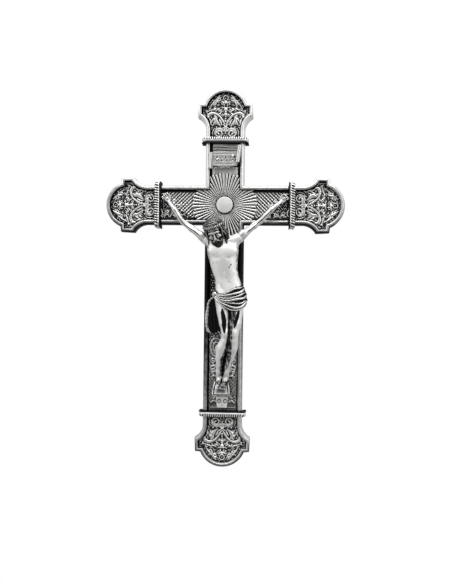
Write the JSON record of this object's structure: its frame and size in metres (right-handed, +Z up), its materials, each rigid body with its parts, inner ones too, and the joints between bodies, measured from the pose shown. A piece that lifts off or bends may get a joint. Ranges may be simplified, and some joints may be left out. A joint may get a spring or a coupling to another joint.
{
  "type": "wall crucifix",
  "caption": "Cast-metal wall crucifix with lobed ends, relief panels, rope collars, sunburst, title scroll and corpus; keyhole hanger behind.",
  "frame": {"origin": "on the flat rear face of the back plate, straight behind the centre of the sunburst where the two bars cross", "axes": "+X to the right of someone facing the crucifix, +Y back into the wall, +Z up the long bar; the figure faces -Y"},
  "size_m": [0.277, 0.0483, 0.438],
  "materials": {
    "frame_silver": "antique silver, brushed and polished on the high edges, dark in the corners",
    "relief_silver": "antique silver relief with near-black patina in the ground",
    "figure_silver": "polished antique silver with dark patina in the folds",
    "dark_silver": "oxidised silver plate",
    "zinc_steel": "zinc-plated steel"
  },
  "bodies": {
    "root": {"back_plate": "dark_silver", "back_screw_bottom": "zinc_steel", "back_screw_left": "zinc_steel", "back_screw_right": "zinc_steel", "back_screw_shaft_lower": "zinc_steel", "back_screw_shaft_upper": "zinc_steel", "back_screw_top": "zinc_steel", "bottom_bar_panel": "relief_silver", "bottom_collar_band": "frame_silver", "bottom_collar_rope": "frame_silver", "bottom_end_panel": "relief_silver", "bracket_rivet_left": "figure_silver", "bracket_rivet_right": "figure_silver", "corpus_arm_left": "figure_silver", "corpus_arm_right": "figure_silver", "corpus_body": "figure_silver", "corpus_head": "figure_silver", "corpus_nut": "zinc_steel", "corpus_stud": "zinc_steel", "corpus_washer": "zinc_steel", "cross_frame": "frame_silver", "crown_of_thorns": "dark_silver", "foot_nail_left": "dark_silver", "foot_nail_right": "dark_silver", "footrest": "figure_silver", "footrest_bracket": "figure_silver", "hand_nail_left": "dark_silver", "hand_nail_right": "dark_silver", "hanger_plate": "zinc_steel", "hanger_rivet_left": "zinc_steel", "hanger_rivet_right": "zinc_steel", "left_bar_panel": "relief_silver", "left_collar_band": "frame_silver", "left_collar_rope": "frame_silver", "left_end_panel": "relief_silver", "loincloth_drape": "figure_silver", "right_bar_panel": "relief_silver", "right_collar_band": "frame_silver", "right_collar_rope": "frame_silver", "right_end_panel": "relief_silver", "sunburst_boss": "figure_silver", "sunburst_nut": "zinc_steel", "sunburst_plate": "frame_silver", "sunburst_washer": "zinc_steel", "title_pin_left": "figure_silver", "title_pin_right": "figure_silver", "title_scroll": "frame_silver", "top_bar_panel": "relief_silver", "top_collar_band": "frame_silver", "top_collar_rope": "frame_silver", "top_end_panel": "relief_silver"}
  },
  "joints": []
}
